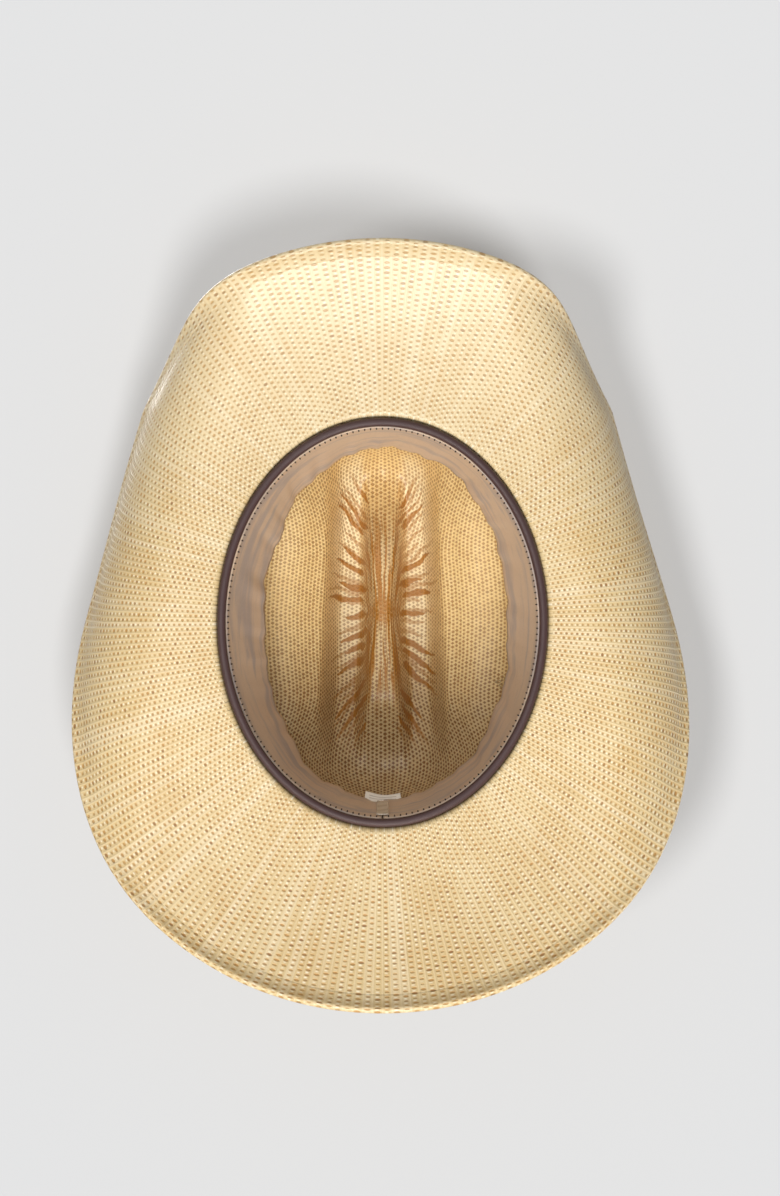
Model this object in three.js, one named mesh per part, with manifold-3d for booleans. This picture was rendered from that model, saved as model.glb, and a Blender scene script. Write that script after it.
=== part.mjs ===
// Straw cowboy hat with a cattleman crease, an inner sweatband and a buckled outer band.
// Millimetres, +Z up as worn, front of the hat at -Y, the wearer's left at +X. The origin is
// the centre of the head opening, where the brim turns up into the crown.
import * as THREE from 'three';
import { mergeVertices } from 'three/addons/utils/BufferGeometryUtils.js';
import Module from 'manifold-3d';

const wasm = await Module();
wasm.setup();

// ---------------------------------------------------------------- driving dimensions
const OPENING_HALF_WIDTH = 85.8; // head oval of the straw, hat size 7 1/4
const OPENING_HALF_LENGTH = 106;
const BRIM_WIDTH = 96.5; // from the head oval to the edge, measured along the straw
const FRONT_TRIM = 1.2; // the brim is a little narrower at the front
const STRAW = 1.2; // thickness of the woven straw
const BREAK_RADIUS = 3; // inner radius where the brim turns up into the crown

const ROLL_RADIUS = 45; // the brim sides are rolled up on this radius
const ROLL_START = 107.8; // half width where the roll starts, level with the origin
const ROLL_SPREAD = 0.25; // the two roll lines close in on each other towards the front
const FRONT_ROLL_BOW = 0.0004; // and bow outwards, a little at the front
const REAR_ROLL_BOW = 0.0016; // and more at the rear
const ROLL_SKEW = 3; // the roll starts this much further out on the wearer's right
const FRONT_SKEW = 1.9; // and this much more towards the front
const FRONT_SKEW_REACH = 89; // where that is all added
const CORNER_START = 112; // forward of this the roll tightens into the brim's front corners
const CORNER_TIGHTENING = 0.27; // roll radius lost for each millimetre further forward
const CORNER_SPREAD = 0.055; // and the roll lines turn outwards again
const CORNER_BOW = 0.0012;
const FRONT_DIP_RADIUS = 243; // the front of the brim bends down on this radius
const REAR_DIP_RADIUS = 252; // and the rear on this one, so that both reach equally low
const DIP_START = 70; // from this distance fore and aft of the origin

const CROWN_HEIGHT = 117; // height of the undented crown, inside
const CROWN_FLAT = 113.2; // the ridges are pressed flat at this height, inside
const CENTRE_DENT = 27; // depth of the long dent in the crown top
const SIDE_DENT = 21; // depth of the dents at either side of it
const RIDGE_OFFSET = 18.5; // half the distance between the two ridges
const RIDGE_SPREAD = 0.04; // the ridges spread towards the rear
const CROWN_TAPER = 0.95; // exponents below 1 make the dome fuller
const TOP_LENGTH = 0.72; // length of the crown's top, as a part of the head oval's
const CROWN_ARCH = 0.002; // the ridges fall away to the front and rear

const WIRE_RADIUS = 0.4; // spring wire in the brim edge
const HEM_BORE = 0.8; // radius of the room round the wire inside the turned edge
const CLEARANCE = 0.3; // between pieces that touch
const LOOSE = 0.5; // between soft pieces that only lie on each other
const HEM = HEM_BORE + STRAW; // outer radius of the turned edge
const HEM_WIDTH = 6.5; // how far the turned straw reaches back under the brim
const REST_TRIM = 0.85; // height pressed flat where the edge stands on a table

const REED_RADIUS = 1.1;
const PIPING_RADIUS = 2.2;
const PIPING_WALL = 0.75;
const PIPING_INSET = 2.5; // from the head oval to the centre of the piping
const PIPING_HEIGHT = 0.6;
const LEATHER = 1; // thickness of the sweatband
const BAND_FOOT = 3.2; // bottom edge of the sweatband
const BAND_INSET = 5.2; // from the head oval to the inner face of the leather, at its bottom edge
const BAND_TOP = 52; // top edge of the sweatband
const THREAD_RADIUS = 0.3;
const THREAD_HEIGHT = 5.6;
const SEAM_GAP = 0.012; // radians left open between the ends of the sweatband
const LABEL_FOLD = 53; // the label leans over the top edge of the leather from here
const LABEL_TOP = 60;
const LABEL_LEAN = 0.45; // inwards for each millimetre of height

const HATBAND_LOW = 0.016; // angle up the crown profile, lower edge of the outer band
const HATBAND_HIGH = 0.2; // upper edge, about 22 mm above it
const HATBAND = 2; // thickness of the outer band
const HATBAND_FACE = STRAW + CLEARANCE + HATBAND; // its outer face, from the inner straw face
const BUCKLE_AT = (100 * Math.PI) / 180; // on the wearer's left, a little to the rear
const ARC_PER_RADIAN = 105; // length along the band for each radian at the buckle

const STEPS = 64; // facets round the hat

// ---------------------------------------------------------------- small helpers
const { abs, cos, sin, min, max, sign, PI } = Math;
const step = THREE.MathUtils.smoothstep;
const lerp = THREE.MathUtils.lerp;

function material(color, roughness, metalness = 0) {
  return new THREE.MeshStandardMaterial({ color, roughness, metalness });
}

const STRAW_MATERIAL = material(0xe3cf9f, 0.55);
const LEATHER_MATERIAL = material(0x9d8878, 0.5);
const PIPING_MATERIAL = material(0x4a3338, 0.5);
const STRAP_MATERIAL = material(0x4b2e1d, 0.5);
const SILVER_MATERIAL = material(0xb9b6ae, 0.3, 1);
const STEEL_MATERIAL = material(0x8c8f92, 0.4, 1);
const THREAD_MATERIAL = material(0x3d2b2b, 0.8);
const CLEAR_MATERIAL = material(0xd9d6cd, 0.2);
const LABEL_MATERIAL = material(0xe9e5da, 0.8);

// Angle 0 is the front, a quarter turn is the wearer's left.
function ovalPoint(angle) {
  return new THREE.Vector3(OPENING_HALF_WIDTH * sin(angle), -OPENING_HALF_LENGTH * cos(angle), 0);
}

function ovalNormal(angle) {
  const normal = new THREE.Vector3(sin(angle) / OPENING_HALF_WIDTH, -cos(angle) / OPENING_HALF_LENGTH, 0);
  return normal.normalize();
}

// ---------------------------------------------------------------- shape of the brim
// Bends the front and the rear of a level surface down.
function dip(point) {
  const reach = abs(point.y) - DIP_START;
  if (reach <= 0) return point;
  const radius = point.y < 0 ? FRONT_DIP_RADIUS : REAR_DIP_RADIUS;
  const bend = reach / radius;
  const y = sign(point.y) * (DIP_START + radius * sin(bend));
  return new THREE.Vector3(point.x, y, point.z - radius * (1 - cos(bend)));
}

// Height of the head oval above the origin: it dips with the brim at the front and rear.
function ovalHeight(angle) {
  return dip(ovalPoint(angle)).z;
}

// How far forward of the start of the front corners a place on the flat brim lies.
function pastCorner(flat) {
  return max(0, -flat.y - CORNER_START);
}

// Distance from the middle line at which the roll starts, for a place on the flat brim.
function rollStart(flat) {
  const bow = flat.y < 0 ? FRONT_ROLL_BOW : REAR_ROLL_BOW;
  const skew = flat.x < 0 ? ROLL_SKEW + FRONT_SKEW * step(-flat.y, 0, FRONT_SKEW_REACH) : 0;
  const corner = pastCorner(flat);
  const spread = CORNER_SPREAD * corner + CORNER_BOW * corner * corner;
  return ROLL_START + ROLL_SPREAD * flat.y - bow * flat.y * flat.y + skew + spread;
}

// The underside of the brim, `out` millimetres from the head oval along the straw.
function brimPoint(angle, out) {
  const flat = ovalPoint(angle).addScaledVector(ovalNormal(angle), out);
  const start = rollStart(flat);
  const radius = ROLL_RADIUS - CORNER_TIGHTENING * pastCorner(flat);
  const bend = max(0, abs(flat.x) - start) / radius;
  const x = sign(flat.x) * (min(abs(flat.x), start) + radius * sin(bend));
  return dip(new THREE.Vector3(x, flat.y, radius * (1 - cos(bend))));
}

function brimWidth(angle) {
  return BRIM_WIDTH - FRONT_TRIM * (1 + cos(angle));
}

// ---------------------------------------------------------------- shape of the crown
// How much wider the crease is at a place along the crown than in its middle.
function creaseSpread(y) {
  return 1 + (RIDGE_SPREAD / RIDGE_OFFSET) * y;
}

// Depth of the cattleman crease; `side` is the distance from its middle line, spread taken out.
function creaseDepth(side, y) {
  const pinch = 2 + 6 * min(1, abs(y + 3) / 65);
  const centre = (1 - step(side, pinch, RIDGE_OFFSET - 3)) * (1 - step(abs(y), 30, 90));
  const flank = step(side, RIDGE_OFFSET + 5, RIDGE_OFFSET + 16);
  const panel = 1 - step(side, RIDGE_OFFSET + 24, RIDGE_OFFSET + 58);
  const length = 1 - step(abs(y + 6), 48, 98);
  return CENTRE_DENT * centre + SIDE_DENT * flank * panel * length;
}

// The inner face of the crown: climb 0 is the head oval, a quarter turn is the middle line of
// the top. The front and rear ends of the middle line stay TOP_LENGTH of the oval apart.
function crownPoint(angle, climb) {
  const foot = ovalPoint(angle);
  const level = max(0, cos(climb));
  const top = sin(climb) ** 4;
  const side = foot.x * level ** CROWN_TAPER;
  const y = foot.y * (TOP_LENGTH + (1 - TOP_LENGTH) * level ** 0.9);
  const dome = BREAK_RADIUS + (CROWN_HEIGHT - BREAK_RADIUS) * sin(climb) ** 0.95;
  const arch = CROWN_ARCH * y * y * top;
  const pressed = dome - arch - creaseDepth(abs(side), y) * step(dome, 33, 98);
  const z = min(CROWN_FLAT, pressed) + ovalHeight(angle) * level;
  return new THREE.Vector3(side * lerp(1, creaseSpread(y), top), y, z);
}

// The rounded turn between brim and crown: turn 0 is the brim, a quarter turn is the crown wall.
function breakPoint(angle, turn) {
  const out = BREAK_RADIUS * (1 - sin(turn));
  const point = brimPoint(angle, out);
  point.z += BREAK_RADIUS * (1 - cos(turn));
  return point;
}

// Moves a surface point along the surface's own normal, which points out of the hat's hollow.
function lifted(surface, angle, along, lift, towards = 1) {
  const small = 1e-3;
  const round = surface(angle + small, along).sub(surface(angle - small, along));
  const run = surface(angle, along + small).sub(surface(angle, along - small));
  const normal = round.cross(run).normalize().multiplyScalar(towards);
  return surface(angle, along).addScaledVector(normal, lift);
}

const onBrim = (angle, out, lift) => lifted(brimPoint, angle, out, lift, -1);
const onBreak = (angle, turn, lift) => lifted(breakPoint, angle, turn, lift);
const onCrown = (angle, climb, lift) => lifted(crownPoint, angle, climb, lift);

// ---------------------------------------------------------------- mesh builders
function indexed(points, faces) {
  const geometry = new THREE.BufferGeometry();
  geometry.setAttribute('position', new THREE.Float32BufferAttribute(points.flatMap((p) => p.toArray()), 3));
  geometry.setIndex(faces.flat());
  return facingOut(geometry);
}

function facingOut(geometry) {
  const at = geometry.attributes.position;
  const index = geometry.index;
  const [a, b, c] = [0, 1, 2].map(() => new THREE.Vector3());
  let volume = 0;
  for (let i = 0; i < index.count; i += 3) {
    a.fromBufferAttribute(at, index.getX(i));
    b.fromBufferAttribute(at, index.getX(i + 1));
    c.fromBufferAttribute(at, index.getX(i + 2));
    volume += a.dot(b.cross(c));
  }
  if (volume < 0) {
    for (let i = 0; i < index.count; i += 3) {
      const kept = index.getX(i + 1);
      index.setX(i + 1, index.getX(i + 2));
      index.setX(i + 2, kept);
    }
  }
  geometry.computeVertexNormals();
  return geometry;
}

// A closed section carried round the hat; `section(angle)` gives its points.
function ring(section, steps = STEPS) {
  const points = [];
  const faces = [];
  for (let i = 0; i < steps; i += 1) points.push(...section((i / steps) * 2 * PI));
  const count = points.length / steps;
  for (let i = 0; i < steps; i += 1) {
    const next = (i + 1) % steps;
    for (let k = 0; k < count; k += 1) {
      const up = (k + 1) % count;
      const corner = [i * count + k, next * count + k, next * count + up, i * count + up];
      faces.push([corner[0], corner[1], corner[2]], [corner[0], corner[2], corner[3]]);
    }
  }
  return indexed(points, faces);
}

// A strip that starts and ends, with its section closed off at both ends. The section lists one
// long side, then the other side back again, so that its points pair up across the thickness.
function strip(section, from, to, steps) {
  const points = [];
  const faces = [];
  for (let i = 0; i <= steps; i += 1) points.push(...section(lerp(from, to, i / steps)));
  const count = points.length / (steps + 1);
  for (let i = 0; i < steps; i += 1) {
    for (let k = 0; k < count; k += 1) {
      const up = (k + 1) % count;
      const [a, b] = [i * count, (i + 1) * count];
      faces.push([a + k, b + k, b + up], [a + k, b + up, a + up]);
    }
  }
  for (let k = 0; k < count / 2 - 1; k += 1) {
    const pair = [k, k + 1, count - 2 - k, count - 1 - k];
    const last = steps * count;
    faces.push([pair[0], pair[1], pair[2]], [pair[0], pair[2], pair[3]]);
    faces.push([last + pair[2], last + pair[1], last + pair[0]]);
    faces.push([last + pair[3], last + pair[2], last + pair[0]]);
  }
  return indexed(points, faces);
}

// A section carried round the hat, whose first and last rings are closed by bands across x = 0.
function capped(section, steps = STEPS) {
  const points = [];
  const faces = [];
  for (let i = 0; i < steps; i += 1) points.push(...section((i / steps) * 2 * PI));
  const count = points.length / steps;
  for (let i = 0; i < steps; i += 1) {
    const a = i * count;
    const b = ((i + 1) % steps) * count;
    for (let k = 0; k < count - 1; k += 1) {
      faces.push([a + k, b + k, b + k + 1], [a + k, b + k + 1, a + k + 1]);
    }
  }
  for (let i = 0; i < steps / 2; i += 1) {
    const corner = [i, i + 1, steps - 1 - i, (steps - i) % steps].map((place) => place * count);
    const triangles = [[0, 3, 2], [0, 2, 1]].map((t) => t.map((k) => corner[k]));
    for (const triangle of triangles.filter((t) => new Set(t).size === 3)) {
      faces.push(triangle, [...triangle].reverse().map((point) => point + count - 1));
    }
  }
  return indexed(points, faces);
}

// ---------------------------------------------------------------- boolean work
function solid(geometry) {
  const bare = geometry.clone();
  bare.deleteAttribute('normal');
  bare.deleteAttribute('uv');
  const merged = mergeVertices(bare, 1e-4);
  const mesh = new wasm.Mesh({
    numProp: 3,
    vertProperties: new Float32Array(merged.attributes.position.array),
    triVerts: new Uint32Array(merged.index.array),
  });
  return new wasm.Manifold(mesh);
}

function geometryOf(body) {
  const mesh = body.getMesh();
  const geometry = new THREE.BufferGeometry();
  geometry.setAttribute('position', new THREE.BufferAttribute(new Float32Array(mesh.vertProperties), 3));
  geometry.setIndex(new THREE.BufferAttribute(new Uint32Array(mesh.triVerts), 1));
  geometry.computeVertexNormals();
  return geometry;
}

// ---------------------------------------------------------------- straw
const CROWN_RINGS = [2, 5, 8, 11.5, 15, 19, 23.5, 28.5, 34, 42, 52, 62, 71, 78, 83]; // half widths
const climbAt = (half) => Math.acos((half / OPENING_HALF_WIDTH) ** (1 / CROWN_TAPER));

function strawBody() {
  const brimRuns = [0.14, 0.3, 0.46, 0.62, 0.76, 0.88];
  const turns = [PI / 2, PI / 4];
  const section = (angle) => {
    const width = brimWidth(angle);
    const fold = width - HEM;
    const outer = [];
    const inner = [];
    for (const climb of CROWN_RINGS.map(climbAt)) {
      outer.push(onCrown(angle, climb, STRAW));
      inner.push(crownPoint(angle, climb));
    }
    for (const turn of turns) {
      outer.push(onBreak(angle, turn, STRAW));
      inner.push(breakPoint(angle, turn));
    }
    for (const run of brimRuns) {
      outer.push(onBrim(angle, lerp(BREAK_RADIUS, fold, run), STRAW));
      inner.push(brimPoint(angle, lerp(BREAK_RADIUS, fold, run)));
    }
    return [...outer, ...hemSection(angle, fold), ...inner.reverse()];
  };
  return capped((angle) => section(angle).map(stoodOn));
}

// The straw turns round the edge wire and lies back against the underside of the brim.
function hemSection(angle, fold) {
  const points = [];
  const arc = (radius, turn) => onBrim(angle, fold + radius * cos(turn), radius * sin(turn) - HEM_BORE);
  for (const turn of [90, 45, 0, -45, -90]) points.push(arc(HEM, (turn * PI) / 180));
  const back = fold + HEM - HEM_WIDTH;
  points.push(onBrim(angle, fold - 2.2, -CLEARANCE - STRAW));
  points.push(onBrim(angle, back, -CLEARANCE - STRAW));
  points.push(onBrim(angle, back, -CLEARANCE));
  points.push(onBrim(angle, fold - 1.6, -CLEARANCE));
  for (const turn of [-90, 0, 90]) points.push(arc(HEM_BORE, (turn * PI) / 180));
  return points;
}

// Lowest height of the rounded edge in the plane of an angle.
function edgeLow(angle) {
  return onBrim(angle, brimWidth(angle) - HEM, -HEM_BORE).z - HEM;
}

const REST_HEIGHT = max(edgeLow(0), edgeLow(PI)) + REST_TRIM;

// Presses the lowest part of the edge flat, so that it stands on a table.
function stoodOn(point) {
  point.z = max(point.z, REST_HEIGHT);
  return point;
}

function edgeWire() {
  const sides = 5;
  return ring((angle) => {
    const centre = brimWidth(angle) - HEM;
    return Array.from({ length: sides }, (_, k) => {
      const turn = (k / sides) * 2 * PI;
      const lift = WIRE_RADIUS * sin(turn) - HEM_BORE;
      return onBrim(angle, centre + WIRE_RADIUS * cos(turn), lift);
    });
  });
}

// ---------------------------------------------------------------- sweatband
// A place inside the opening: `inset` from the head oval, `height` above it.
function inside(angle, inset, height) {
  const point = dip(ovalPoint(angle)).addScaledVector(ovalNormal(angle), -inset);
  point.z += height;
  return point;
}

// How far the inner face of the leather stands in from the head oval at a height.
function bandInset(angle, height) {
  const lean = 5.95 + 8.85 * sin(angle) ** 2 + 1.15 * cos(angle) - 2 * sin(angle);
  const wave = 1.2 * sin(7 * angle + 0.6) * sin(3 * angle);
  const rise = (height - BAND_FOOT) / (BAND_TOP - BAND_FOOT);
  return BAND_INSET + (lean + wave) * max(0, rise) ** 1.15;
}

function bandTop(angle) {
  return BAND_TOP + 0.9 * sin(5 * angle) + 0.6 * sin(11 * angle + 1);
}

function sweatband() {
  const rows = [0, 0.12, 0.4, 0.7, 1];
  const section = (angle) => {
    const heights = rows.map((row) => lerp(BAND_FOOT, bandTop(angle), row));
    const inner = heights.map((height) => inside(angle, bandInset(angle, height), height));
    const outer = heights.map((height) => inside(angle, bandInset(angle, height) - LEATHER, height));
    return [...inner, ...outer.reverse()];
  };
  return strip(section, PI + SEAM_GAP / 2, 3 * PI - SEAM_GAP / 2, STEPS);
}

function reed() {
  const sides = 6;
  return ring((angle) =>
    Array.from({ length: sides }, (_, k) => {
      const turn = (k / sides) * 2 * PI;
      return inside(angle, PIPING_INSET + REED_RADIUS * cos(turn), PIPING_HEIGHT + REED_RADIUS * sin(turn));
    }),
  );
}

// The cover wraps the reed and stays open at the top, where the leather stands.
function piping() {
  const outerTurns = [110, 155, 200, 245, 295, 340, 385, 430];
  const innerTurns = [425, 380, 325, 270, 215, 160, 115];
  return ring((angle) => {
    const at = (radius, degrees) => {
      const turn = (degrees * PI) / 180;
      return inside(angle, PIPING_INSET + radius * cos(turn), PIPING_HEIGHT + radius * sin(turn));
    };
    const outer = outerTurns.map((degrees) => at(PIPING_RADIUS, degrees));
    const inner = innerTurns.map((degrees) => at(PIPING_RADIUS - PIPING_WALL, degrees));
    return [...outer, ...inner];
  });
}

function sweatbandThread() {
  const sides = 4;
  return ring((angle) =>
    Array.from({ length: sides }, (_, k) => {
      const turn = (k / sides) * 2 * PI;
      const face = bandInset(angle, THREAD_HEIGHT) + CLEARANCE + THREAD_RADIUS;
      return inside(angle, face + THREAD_RADIUS * cos(turn), THREAD_HEIGHT + THREAD_RADIUS * sin(turn));
    }),
  );
}

// A plate that follows the leather at the back of the hat, `gap` in front of its inner face.
// Above the fold it leans inwards.
function rearPlate(halfWidth, rows, gap, thickness) {
  const spread = halfWidth / OPENING_HALF_WIDTH;
  const face = (angle, height, lift) => {
    const lean = LABEL_LEAN * max(0, height - LABEL_FOLD);
    return inside(angle, bandInset(angle, height) + gap + lean + lift, height);
  };
  const section = (angle) => {
    const near = rows.map((height) => face(angle, height, 0));
    const far = rows.map((height) => face(angle, height, thickness));
    return [...near, ...far.reverse()];
  };
  return strip(section, PI - spread, PI + spread, 4);
}

// ---------------------------------------------------------------- outer band
function hatband() {
  const climbs = [0, 0.33, 0.67, 1].map((part) => lerp(HATBAND_LOW, HATBAND_HIGH, part));
  const loop = ring((angle) => {
    const near = climbs.map((climb) => onCrown(angle, climb, STRAW + CLEARANCE));
    const far = climbs.map((climb) => onCrown(angle, climb, HATBAND_FACE));
    return [...near, ...far.reverse()];
  });
  let body = solid(loop);
  for (const place of RIVETS) body = body.subtract(solid(onBand(rivetHole(place))));
  return geometryOf(body);
}

// The buckle pieces are drawn on the flat: x runs along the band towards the front, y stands out
// from its outer face and z runs up. bandPlace puts such a point on the hat.
const BAND_MIDDLE = (HATBAND_LOW + HATBAND_HIGH) / 2;
const BAND_UP = onCrown(BUCKLE_AT, HATBAND_HIGH, HATBAND_FACE)
  .sub(onCrown(BUCKLE_AT, HATBAND_LOW, HATBAND_FACE))
  .normalize();

function bandPlace(along, out, up) {
  const place = onCrown(BUCKLE_AT - along / ARC_PER_RADIAN, BAND_MIDDLE, HATBAND_FACE + out);
  return place.addScaledVector(BAND_UP, up);
}

function onBand(geometry) {
  const at = geometry.attributes.position;
  for (let i = 0; i < at.count; i += 1) {
    const place = bandPlace(at.getX(i), at.getY(i), at.getZ(i));
    at.setXYZ(i, place.x, place.y, place.z);
  }
  return geometry;
}

const BAR_AT = -11; // along the band
const BAR_OUT = 3.6; // from the face of the band
const BAR_RADIUS = 1;
const FRAME_THICKNESS = 2;
const FRAME_FAR = 13;
const FRAME_HALF = 9.5;
const FRAME_SIDE = 2.6;
const CHAPE_HALF = 5.5;
const PRONG_HALF = 0.8;
const SLOT_HALF = 1.5;
const BILLET_HALF = 5.2;
const BILLET = 1.4; // thickness
const KEEPER_AT = -23.5;

const RIVETS = [
  { name: 'chape_rivet_upper', along: -33, up: 7.8, seat: 3.1 },
  { name: 'chape_rivet_lower', along: -33, up: -7.8, seat: 3.1 },
  { name: 'billet_rivet', along: 27, up: 0, seat: 1.7 },
];
const RIVET_RADIUS = 0.9;
const RIVET_DEPTH = 1.7; // how far the rivet reaches into the band

function rivetHole(place) {
  const hole = new THREE.CylinderGeometry(RIVET_RADIUS + CLEARANCE, RIVET_RADIUS + CLEARANCE, 12, 10);
  return hole.translate(place.along, 0, place.up);
}

function rivet(place) {
  const seat = place.seat + CLEARANCE;
  const outline = [
    [0, -RIVET_DEPTH],
    [RIVET_RADIUS, -RIVET_DEPTH],
    [RIVET_RADIUS, seat],
    [1.9, seat],
    [1.6, seat + 0.6],
    [0, seat + 0.8],
  ];
  const lathe = new THREE.LatheGeometry(outline.map(([r, h]) => new THREE.Vector2(r, h)), 10);
  return onBand(cleaned(lathe).translate(place.along, 0, place.up));
}

// Drops the doubled vertices and empty faces that a lathe leaves on its axis.
function cleaned(geometry) {
  return geometryOf(solid(geometry));
}

function box(x0, x1, y0, y1, z0, z1, pieces = 1) {
  const shape = new THREE.BoxGeometry(x1 - x0, y1 - y0, z1 - z0, pieces, 1, 1);
  return shape.translate((x0 + x1) / 2, (y0 + y1) / 2, (z0 + z1) / 2);
}

// Leather loop that holds the buckle bar, riveted to the band at its wide end.
function chape() {
  const outer = BAR_RADIUS + CLEARANCE + LEATHER;
  const low = BAR_OUT - outer;
  const leaf = solid(onBand(box(-30, BAR_AT, low, low + 1.8, -CHAPE_HALF, CHAPE_HALF, 6)));
  const head = solid(onBand(box(-36, -30, low, low + 1.8, -10.2, 10.2, 2)));
  const loop = new THREE.CylinderGeometry(outer, outer, 2 * CHAPE_HALF, 16).rotateX(PI / 2);
  const bore = new THREE.CylinderGeometry(BAR_RADIUS + CLEARANCE, BAR_RADIUS + CLEARANCE, 14, 12);
  const slot = box(BAR_AT - 5, BAR_AT + 4, low - 1, BAR_OUT + 4, -SLOT_HALF, SLOT_HALF);
  let body = leaf.add(head).add(solid(onBand(loop.translate(BAR_AT, BAR_OUT, 0))));
  body = body.subtract(solid(onBand(bore.rotateX(PI / 2).translate(BAR_AT, BAR_OUT, 0))));
  body = body.subtract(solid(onBand(slot)));
  for (const place of RIVETS) body = body.subtract(solid(onBand(rivetHole(place))));
  return geometryOf(body);
}

// Height of the middle of the billet above the band, all along it.
function billetRise(along) {
  const threaded = lerp(6.9, 1, step(along, -9, 9));
  return along < -13 ? lerp(4.1, 6.9, step(along, -19, -13)) : threaded;
}

// Free end of the band: riveted at its front end, it runs under the far side of the buckle frame,
// over the bar and back through the keeper. The prong stands through its slot.
function billet() {
  const strap = box(-40, 34, -BILLET / 2, BILLET / 2, -BILLET_HALF, BILLET_HALF, 37);
  const at = strap.attributes.position;
  for (let i = 0; i < at.count; i += 1) at.setY(i, at.getY(i) + billetRise(at.getX(i)));
  const slot = box(BAR_AT - 3, 4.5, 0, 12, -SLOT_HALF, SLOT_HALF, 8);
  let body = solid(onBand(strap)).subtract(solid(onBand(slot)));
  for (const place of RIVETS.slice(2)) body = body.subtract(solid(onBand(rivetHole(place))));
  return geometryOf(body);
}

// A pointed metal tip on the end of the billet.
function billetTip() {
  const outline = new THREE.Shape();
  outline.moveTo(-40.3, -BILLET_HALF);
  outline.lineTo(-40.3, BILLET_HALF);
  outline.lineTo(-44.5, BILLET_HALF);
  outline.quadraticCurveTo(-49, BILLET_HALF, -51, 0);
  outline.quadraticCurveTo(-49, -BILLET_HALF, -44.5, -BILLET_HALF);
  const tip = new THREE.ExtrudeGeometry(outline, { depth: 2, bevelEnabled: false, curveSegments: 4 });
  return onBand(cleaned(tip.rotateX(PI / 2)).translate(0, 5.1, 0));
}

function roundedRectangle(path, x0, x1, half, radius) {
  path.moveTo(x0, -half);
  path.lineTo(x1 - radius, -half);
  path.absarc(x1 - radius, -half + radius, radius, -PI / 2, 0, false);
  path.absarc(x1 - radius, half - radius, radius, 0, PI / 2, false);
  path.lineTo(x0, half);
  return path;
}

// Open frame with the bar across its near end.
function buckleFrame() {
  const plate = roundedRectangle(new THREE.Shape(), BAR_AT - 1.4, FRAME_FAR, FRAME_HALF, 5);
  plate.lineTo(BAR_AT - 1.4, FRAME_HALF - FRAME_SIDE);
  plate.lineTo(FRAME_FAR - FRAME_SIDE - 2, FRAME_HALF - FRAME_SIDE);
  plate.absarc(FRAME_FAR - FRAME_SIDE - 2, FRAME_HALF - FRAME_SIDE - 2, 2, PI / 2, 0, true);
  plate.absarc(FRAME_FAR - FRAME_SIDE - 2, -FRAME_HALF + FRAME_SIDE + 2, 2, 0, -PI / 2, true);
  plate.lineTo(BAR_AT - 1.4, -FRAME_HALF + FRAME_SIDE);
  const options = { depth: FRAME_THICKNESS, bevelEnabled: false, curveSegments: 5 };
  const flat = new THREE.ExtrudeGeometry(plate, options).rotateX(PI / 2);
  flat.translate(0, BAR_OUT + FRAME_THICKNESS / 2, 0);
  const bar = new THREE.CylinderGeometry(BAR_RADIUS, BAR_RADIUS, 2 * FRAME_HALF - 2, 12);
  bar.rotateX(PI / 2).translate(BAR_AT, BAR_OUT, 0);
  return geometryOf(solid(onBand(flat)).add(solid(onBand(bar))));
}

// The prong turns on the bar, and its tip rests on the far side of the frame.
function prong() {
  const low = BAR_OUT + FRAME_THICKNESS / 2 + CLEARANCE;
  const ringOuter = BAR_RADIUS + CLEARANCE + 0.9;
  const eye = new THREE.CylinderGeometry(ringOuter, ringOuter, 2 * PRONG_HALF, 14).rotateX(PI / 2);
  const bore = new THREE.CylinderGeometry(BAR_RADIUS + CLEARANCE, BAR_RADIUS + CLEARANCE, 6, 12);
  const shank = box(BAR_AT, FRAME_FAR - 0.4, low, low + 1.3, -PRONG_HALF, PRONG_HALF, 5);
  let body = solid(onBand(eye.translate(BAR_AT, BAR_OUT, 0))).add(solid(onBand(shank)));
  body = body.subtract(solid(onBand(bore.rotateX(PI / 2).translate(BAR_AT, BAR_OUT, 0))));
  return geometryOf(body);
}

// Metal loop that holds the billet down on the chape; it slides a little.
function keeper() {
  const outer = new THREE.Shape();
  outer.moveTo(0.3, -7);
  outer.lineTo(5.9, -7);
  outer.lineTo(5.9, 7);
  outer.lineTo(0.3, 7);
  const hollow = new THREE.Path();
  hollow.moveTo(1, -6.2);
  hollow.lineTo(1, 6.2);
  hollow.lineTo(5.1, 6.2);
  hollow.lineTo(5.1, -6.2);
  outer.holes.push(hollow);
  const loop = new THREE.ExtrudeGeometry(outer, { depth: 4, bevelEnabled: false });
  const turned = new THREE.Matrix4().makeBasis(
    new THREE.Vector3(0, 1, 0),
    new THREE.Vector3(0, 0, 1),
    new THREE.Vector3(1, 0, 0),
  );
  return onBand(cleaned(loop.applyMatrix4(turned)).translate(KEEPER_AT - 2, 0, 0));
}

// ---------------------------------------------------------------- the hat
const hat = new THREE.Group();

function piece(name, geometry, look) {
  const mesh = new THREE.Mesh(geometry, look.clone());
  mesh.name = name;
  hat.add(mesh);
}

piece('straw_body', strawBody(), STRAW_MATERIAL);
piece('brim_edge_wire', edgeWire(), STEEL_MATERIAL);
piece('sweatband', sweatband(), LEATHER_MATERIAL);
piece('sweatband_reed', reed(), CLEAR_MATERIAL);
piece('reed_piping', piping(), PIPING_MATERIAL);
piece('sweatband_thread', sweatbandThread(), THREAD_MATERIAL);
piece('seam_tab', rearPlate(3.5, [8, 20, 33, 46], LOOSE, 0.6), CLEAR_MATERIAL);
piece('size_label', rearPlate(11.5, [30, 42, LABEL_FOLD, LABEL_TOP], -LEATHER - LOOSE - 0.5, 0.5), LABEL_MATERIAL);
piece('hatband', hatband(), STRAP_MATERIAL);
piece('buckle_chape', chape(), STRAP_MATERIAL);
piece('hatband_billet', billet(), STRAP_MATERIAL);
piece('billet_tip', billetTip(), SILVER_MATERIAL);
piece('buckle_frame', buckleFrame(), SILVER_MATERIAL);
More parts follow.
